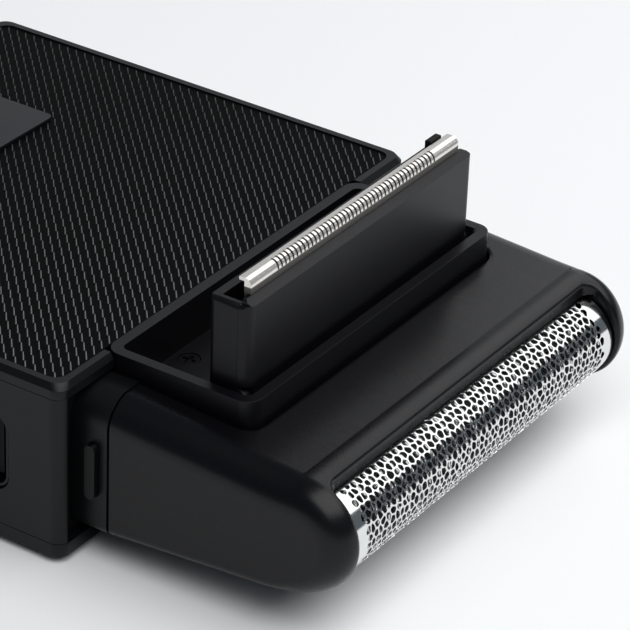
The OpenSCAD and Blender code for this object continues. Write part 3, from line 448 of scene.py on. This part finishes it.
def head_shell_field(x, y, z):
    """The removable head: a wedge that ends in a round nose, its two ends rounded over.

    In the side view it lies between two straight lines that run from the seam and touch the
    nose's circle. Across, it ends at the width's two flat cheeks, with one radius above, one
    below and one round the nose. Taken out of it: the same outline one wall thickness in, the
    mouth for the foil, a pocket for the foil's edges and the room for the trimmer's tray.
    """
    outline = np.maximum(
        side_line(y, z, FRAME_HIGH[2], 1.0), side_line(y, z, FRAME_LOW[2], -1.0)
    )
    below_r, above_r, nose_r = 1.2, 3.5, 3.0
    end_radius = below_r + (above_r - below_r) * ease((z - NOSE_Z + 3.0) / 6.0)
    end_radius = end_radius + (nose_r - end_radius) * ease((NOSE_Y + 3.0 - y) / 7.0)
    across = np.abs(x)
    solid = both(outline, across - FRAME_HIGH[0], end_radius)
    solid = both(solid, y - SEAM_Y, 0.3)
    hollow = both(outline + HEAD_WALL, across - CAVITY_HALF, 0.8)
    mouth = both(across - CAVITY_HALF, y - LIP_Y, 1.6)
    pocket = np.maximum(across - CAVITY_HALF, np.abs(z - FOIL_Z) - FOIL_R - 0.15)
    pocket = np.maximum(pocket, np.maximum(LIP_Y - 1.0 - y, y - FOIL_Y - 4.3))
    bay = both(across - TRAY_HIGH[0] - TRAY_ROOM, TRAY_LOW[1] - TRAY_ROOM - y, 2.1)
    bay = both(bay, TRAY_LOW[2] - TRAY_ROOM - z, 0.1)
    taken = np.minimum(np.minimum(hollow, mouth), np.minimum(pocket, bay))
    return both(solid, -taken, 0.4)


def head_shell():
    """The head as one closed skin in cubes of 0.33 mm."""
    points, faces, normals = skin_of(head_shell_field, FRAME_LOW - 1.0, FRAME_HIGH + 1.0, 0.33)
    add_piece("head_shell", points, [faces], "head", "foil_frame", ("foil_frame",), normals)


def foil_sheet():
    """The perforated foil: a half tube of radius FOIL_R about the foil's axis, with straight legs.

    The sheet is a grid of distance along the axis and distance round the arc. Its holes are the
    cells of a shaken honeycomb: each point knows how far it is from the line halfway between its
    two nearest cell centres, and it is a hole where that is more than half a strut. Grid points
    near a hole's edge slide onto it.
    """
    step = 0.115
    pitch = 0.96
    strut = 0.15
    plain_end = 1.5
    plain_edge = 1.0
    sheet = 0.09
    sharpness = 14.0
    half_arc = math.pi * FOIL_R / 2
    along = np.linspace(-FOIL_HALF, FOIL_HALF, int(2 * FOIL_HALF / step) + 1)
    round_arc = np.linspace(-half_arc, half_arc, int(2 * half_arc / step) + 1)
    legs = np.array([3.8, 2.0])
    round_all = np.concatenate([-half_arc - legs, round_arc, half_arc + legs[::-1]])
    u, v = np.meshgrid(along, round_all, indexing="ij")

    rng = np.random.default_rng(7)
    row_pitch = pitch * math.sqrt(3) / 2
    rows = int(2 * half_arc / row_pitch) + 9
    columns = int(2 * FOIL_HALF / pitch) + 9
    row, column = np.meshgrid(np.arange(rows), np.arange(columns), indexing="ij")
    seed_u = (column + 0.5 * (row % 2) - columns / 2) * pitch + rng.uniform(-0.24, 0.24, row.shape)
    seed_v = (row - rows / 2) * row_pitch + rng.uniform(-0.22, 0.22, row.shape)

    def hole_depth(pu, pv):
        """Distance into a hole past its edge, below 0 on a strut."""
        at_row = np.clip(np.round(pv / row_pitch + rows / 2).astype(int), 2, rows - 3)
        at_column = np.clip(np.round(pu / pitch + columns / 2).astype(int), 2, columns - 3)
        near_u, near_v = [], []
        for dr in range(-2, 3):
            for dc in range(-2, 3):
                near_u.append(seed_u[at_row + dr, at_column + dc])
                near_v.append(seed_v[at_row + dr, at_column + dc])
        near_u, near_v = np.stack(near_u), np.stack(near_v)
        squared = (pu - near_u) ** 2 + (pv - near_v) ** 2
        own = squared.argmin(0)[None]
        own_u = np.take_along_axis(near_u, own, 0)
        own_v = np.take_along_axis(near_v, own, 0)
        gap = np.hypot(near_u - own_u, near_v - own_v)
        border = (squared - squared.min(0)) / (2 * np.maximum(gap, 1e-6))
        border = np.where(gap < 1e-6, 9.0, border)
        soft = -np.log(np.exp(-sharpness * border).sum(0)) / sharpness
        at_end = np.abs(own_u[0]) > FOIL_HALF - plain_end - pitch / 2
        at_edge = np.abs(own_v[0]) > half_arc - plain_edge
        return np.where(at_end | at_edge, -1.0, soft - strut / 2)

    depth = hole_depth(u, v)
    tiny = 0.01
    slope_u = (hole_depth(u + tiny, v) - hole_depth(u - tiny, v)) / (2 * tiny)
    slope_v = (hole_depth(u, v + tiny) - hole_depth(u, v - tiny)) / (2 * tiny)
    steep = np.maximum(slope_u ** 2 + slope_v ** 2, 0.2)
    close = np.abs(depth) < 0.62 * step
    u = u - np.where(close, depth * slope_u / steep, 0.0)
    v = v - np.where(close, depth * slope_v / steep, 0.0)
    metal = (depth <= 0) | close

    number = np.arange(u.size).reshape(u.shape)
    keep = metal[:-1, :-1] & metal[1:, :-1] & metal[1:, 1:] & metal[:-1, 1:]
    quads = np.stack([number[:-1, :-1], number[1:, :-1], number[1:, 1:], number[:-1, 1:]], -1)[keep]
    used = np.unique(quads)
    renumber = np.zeros(u.size, int)
    renumber[used] = np.arange(len(used))
    outer = renumber[quads]
    u, v = u.reshape(-1)[used], v.reshape(-1)[used]
    arc = np.clip(v, -half_arc, half_arc)
    out = np.stack([0 * u, -np.cos(arc / FOIL_R), np.sin(arc / FOIL_R)], -1)
    middle = np.stack([u, FOIL_Y + np.abs(v - arc), FOIL_Z + 0 * u], -1)
    outside = middle + FOIL_R * out
    inside = middle + (FOIL_R - sheet) * out

    edges = np.concatenate([outer[:, [i, (i + 1) % 4]] for i in range(4)])
    keys = np.sort(edges, 1) @ np.array([len(used), 1])
    first, times = np.unique(keys, return_index=True, return_counts=True)[1:]
    rim = edges[first[times == 1]]
    near, far = rim.T
    wall = np.stack([outside[far], outside[near], inside[near], inside[far]], 1)
    wall_out = np.cross(wall[:, 1] - wall[:, 0], wall[:, 3] - wall[:, 0])
    wall_out /= np.maximum(np.linalg.norm(wall_out, axis=1), 1e-9)[:, None]
    count = len(used)
    wall_faces = 2 * count + np.arange(4 * len(rim)).reshape(-1, 4)
    points = np.concatenate([outside, inside, wall.reshape(-1, 3)])
    blocks = [outer, outer[:, ::-1] + count, wall_faces]
    normals = np.concatenate([out, -out, np.repeat(wall_out, 4, axis=0)])
    add_piece("foil_sheet", points, blocks, "foil_steel", "foil", ("foil",), normals)


PANEL_LOW, PANEL_HIGH = corners("grip_panel")
PLATE_LOW, PLATE_HIGH = corners("control_plate")


def grip_ridges():
    """Short slanted ridges on the grip panel, one in each cell of a rectangular lattice.

    A ridge runs along its cell's diagonal. Its cross-section rises to a flat crest and falls
    again, and both of its ends taper down into the panel. A ridge stops short where it would
    meet the rim, the control plate or the tray. The lattice is larger than the panel.
    """
    pitch = np.array([1.324, 1.276])
    run = np.array([-1.31, -1.07])
    width, height, sink, margin = 0.24, 0.1, 0.04, 0.15
    crest_start, crest_end, end_taper, shortest = 0.06, 0.12, 0.05, 0.2
    tests = 15
    length = np.linalg.norm(run)
    ahead = run / length
    aside = np.array([-ahead[1], ahead[0]])
    column, row = np.meshgrid(np.arange(-26, 27), np.arange(-4, 50), indexing="ij")
    start = np.stack([column * pitch[0] + 0.4, FRONT + row * pitch[1]], -1).reshape(-1, 2)

    def room(point):
        """How far a point lies inside the ribbed area, below 0 outside it."""
        inner = np.minimum(point - PANEL_LOW[:2], PANEL_HIGH[:2] - point).min(-1)
        middle, half = (PLATE_LOW + PLATE_HIGH)[:2] / 2, (PLATE_HIGH - PLATE_LOW)[:2] / 2
        off_plate = (np.abs(point - middle) - half).max(-1)
        off_tray = np.maximum(np.abs(point[..., 0]) - TRAY_HIGH[0], point[..., 1] - TRAY_HIGH[1])
        return np.minimum(inner, np.minimum(off_plate, off_tray)) - margin

    share = np.linspace(0.0, 1.0, tests)
    free = room(start[:, None] + share[None, :, None] * run) > 0
    begins = np.where(free, share, 2.0).min(1)
    ends = np.where(free, share, -1.0).max(1)
    unbroken = free.sum(1) == np.round((ends - begins) * (tests - 1)).astype(int) + 1
    whole = (ends - begins > shortest) & unbroken
    start, begins, ends = start[whole], begins[whole], ends[whole]

    across = np.array([0.0, crest_start, crest_end, width])
    rise = np.array([-sink, height, height, -sink])
    taper = end_taper / length
    along = np.stack([begins, begins + taper, ends - taper, ends], 1)
    full = np.array([0.0, 1.0, 1.0, 0.0])
    flat = start[:, None, None] + along[:, :, None, None] * run - across[:, None] * aside
    level = PANEL_HIGH[2] - sink + full[:, None] * (rise + sink)
    level = np.broadcast_to(level, flat.shape[:3])
    points = np.concatenate([flat, level[..., None]], -1)
    corner = 4 * np.arange(3)[:, None] + np.arange(3)
    quads = np.stack([corner, corner + 1, corner + 5, corner + 4], -1).reshape(-1, 4)
    under = np.array([[0, 4, 8, 12, 13, 14, 15, 11, 7, 3, 2, 1]])
    first = (16 * np.arange(len(start)))[:, None, None]
    blocks = [(first + quads).reshape(-1, 4), (first + under).reshape(-1, 12)]
    points = points.reshape(-1, 3)
    add_piece("grip_ridges", points, blocks, "grip", "grip_panel", finish="ridge")


# ---- Edges ----

def soften(node, width):
    """A copy of a CAD node, its doubles merged and its sharp edges rounded to width millimetres."""
    body = NODES[node]["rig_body"]
    mesh = NODES[node].data.copy()
    piece = bpy.data.objects.new(node + "_soft", mesh)
    bpy.context.scene.collection.objects.link(piece)
    weld = piece.modifiers.new("merge", "WELD")
    weld.merge_threshold = 0.002 * MM
    flat = piece.modifiers.new("flat_faces", "DECIMATE")
    flat.decimate_type = "DISSOLVE"
    flat.angle_limit = math.radians(0.6)
    bevel = piece.modifiers.new("round_edges", "BEVEL")
    bevel.width = width * MM
    bevel.segments = 3
    bevel.limit_method = "ANGLE"
    bevel.angle_limit = math.radians(30.0)
    bevel.miter_outer = "MITER_ARC"
    mesh.polygons.foreach_set("use_smooth", np.ones(len(mesh.polygons), bool))
    smooth = piece.modifiers.new("shade", "WEIGHTED_NORMAL")
    smooth.keep_sharp = False
    paint(piece, SLOT_OF[node])
    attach(piece, body)
    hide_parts(node)


# Width of each piece's rounded edges, in millimetres
SOFT_EDGES = {
    "top_bezel": 0.12, "side_band": 0.15, "rear_cover": 0.2, "control_plate": 0.12,
    "front_plate": 0.1, "trimmer_tray": 0.55, "neck_upper": 0.12, "neck_lower": 0.12,
    "release_button_left": 0.15, "release_button_right": 0.15,
    "trimmer_housing": 0.18, "trimmer_cover": 0.22, "trimmer_slider": 0.4,
    "power_button": 0.15, "cutter_holder": 0.15, "chassis": 0.15,
}
for soft_node, edge_width in SOFT_EDGES.items():
    soften(soft_node, edge_width)

head_shell()
foil_sheet()
grip_ridges()


# ---- Camera, light and floor ----

def aim(azimuth, elevation, roll):
    """Turn of a camera that looks along that azimuth and elevation, rolled about its own axis."""
    a, e, r = (math.radians(v) for v in (azimuth, elevation, roll))
    forward = Vector((-math.sin(a) * math.cos(e), math.cos(a) * math.cos(e), -math.sin(e)))
    right = Vector((math.cos(a), math.sin(a), 0.0))
    up = right.cross(forward)
    turned_right = math.cos(r) * right + math.sin(r) * up
    turned_up = -math.sin(r) * right + math.cos(r) * up
    return Matrix((turned_right, turned_up, -forward)).transposed().to_4x4()


camera_data = bpy.data.cameras.new("camera")
camera_data.lens = 208.99
camera_data.sensor_width = 36.0
camera_data.clip_start = 0.01
camera_data.clip_end = 10.0
camera = bpy.data.objects.new("camera", camera_data)
bpy.context.scene.collection.objects.link(camera)
camera_place = Vector((-285.04, -205.52, 215.60)) * MM
camera_turn = aim(azimuth=-57.266, elevation=30.149, roll=2.340)
camera.matrix_world = Matrix.Translation(camera_place) @ camera_turn
bpy.context.scene.camera = camera


def soft_lamp(name, place, target, size, power):
    """A large rectangular lamp at a place, turned to a target, all in millimetres."""
    data = bpy.data.lights.new(name, "AREA")
    data.shape = "RECTANGLE"
    data.size = size[0] * MM
    data.size_y = size[1] * MM
    data.energy = power
    lamp = bpy.data.objects.new(name, data)
    bpy.context.scene.collection.objects.link(lamp)
    way = Vector(target) - Vector(place)
    turn = way.to_track_quat("-Z", "Y").to_matrix().to_4x4()
    lamp.matrix_world = Matrix.Translation(Vector(place) * MM) @ turn


def floor_plane():
    """A wide pale sheet at the object's foot, 6 m across."""
    half = 3.0
    mesh = bpy.data.meshes.new("floor")
    mesh.from_pydata(
        [(-half, -half, 0), (half, -half, 0), (half, half, 0), (-half, half, 0)], [], [(0, 1, 2, 3)]
    )
    floor = bpy.data.objects.new("floor", mesh)
    bpy.context.scene.collection.objects.link(floor)
    f = Finish("pale_floor")
    f.set(Base_Color=(0.90, 0.905, 0.91, 1.0), Roughness=0.9)
    mesh.materials.append(f.material)


floor_plane()
world = bpy.data.worlds.new("studio")
bpy.context.scene.world = world
world.use_nodes = True
background = world.node_tree.nodes["Background"]
background.inputs["Color"].default_value = (0.80, 0.90, 1.0, 1.0)
background.inputs["Strength"].default_value = 0.14
soft_lamp("overhead", (-60, -300, 580), (0, 0, 0), (900, 600), 5.0)
soft_lamp("side", (450, -96, 386), (0, -20, 10), (620, 340), 1.0)
soft_lamp("back_card", (694, 523, 233), (0, 0, 0), (730, 480), 0.7)
bpy.context.scene.view_settings.view_transform = "Standard"
